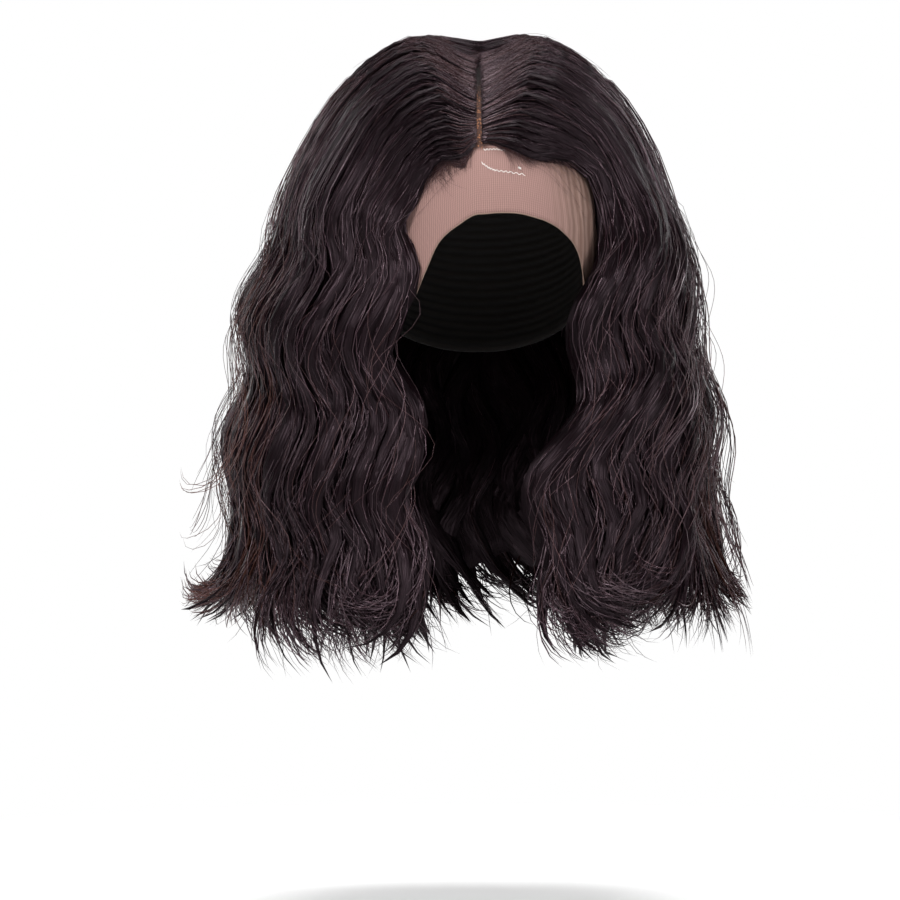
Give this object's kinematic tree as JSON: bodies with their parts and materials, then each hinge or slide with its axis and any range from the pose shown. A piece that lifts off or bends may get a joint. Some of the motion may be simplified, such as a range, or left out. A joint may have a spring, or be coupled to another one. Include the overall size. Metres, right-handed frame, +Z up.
{
  "type": "bob wig",
  "caption": "Centre-parted wavy bob wig with a lace front and net cap, in its worn form, for wearing or for dressing a display head.",
  "frame": {"origin": "underside of the cap at the crown, where the wig sits on a head", "axes": "+Z up out of the crown, -Y the way the face looks, +X to the right as seen from the front"},
  "size_m": [0.2937, 0.2342, 0.3525],
  "materials": {
    "hair": "near-black brown hair with a soft gloss",
    "lace": "sheer beige-brown lace, matt",
    "net": "dark stretch net, matt"
  },
  "bodies": {
    "root": {"lace_front": "lace", "net_cap": "net", "hair_left": "hair", "hair_right": "hair", "hair_back": "hair"}
  },
  "joints": []
}
